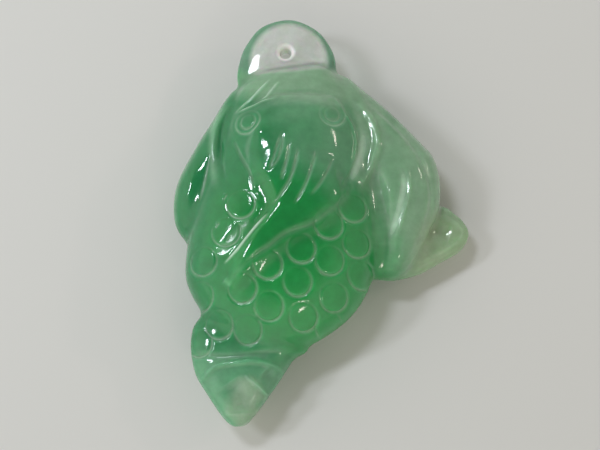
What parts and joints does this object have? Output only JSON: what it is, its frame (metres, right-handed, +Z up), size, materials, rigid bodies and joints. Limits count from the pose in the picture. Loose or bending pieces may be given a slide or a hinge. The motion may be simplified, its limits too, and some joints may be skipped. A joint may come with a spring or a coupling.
{
  "type": "carved jade fish pendant",
  "caption": "Small carved translucent jade goldfish with a domed head, scaled trunk, smooth side fins, fluted tail and a drilled hanging tab; rests on its flat-ground back.",
  "frame": {"origin": "on the resting face, under the middle of the whole stone", "axes": "+Y from the tail to the hanging tab, +X to the right as seen from above, +Z up out of the resting face"},
  "size_m": [0.0316, 0.0436, 0.012],
  "materials": {
    "jade_green": "polished translucent green jade",
    "jade_pale": "polished translucent pale green jade",
    "jade_clear": "polished almost colourless jade"
  },
  "bodies": {
    "root": {"hanging_tab": "jade_clear", "collar": "jade_pale", "head": "jade_green", "left_eye": "jade_green", "right_eye": "jade_green", "dorsal_fin": "jade_green", "trunk": "jade_green", "left_pectoral_fin": "jade_green", "right_pectoral_fin": "jade_pale", "right_pelvic_fin": "jade_pale", "tail_root": "jade_green", "tail_fin": "jade_pale"}
  },
  "joints": []
}
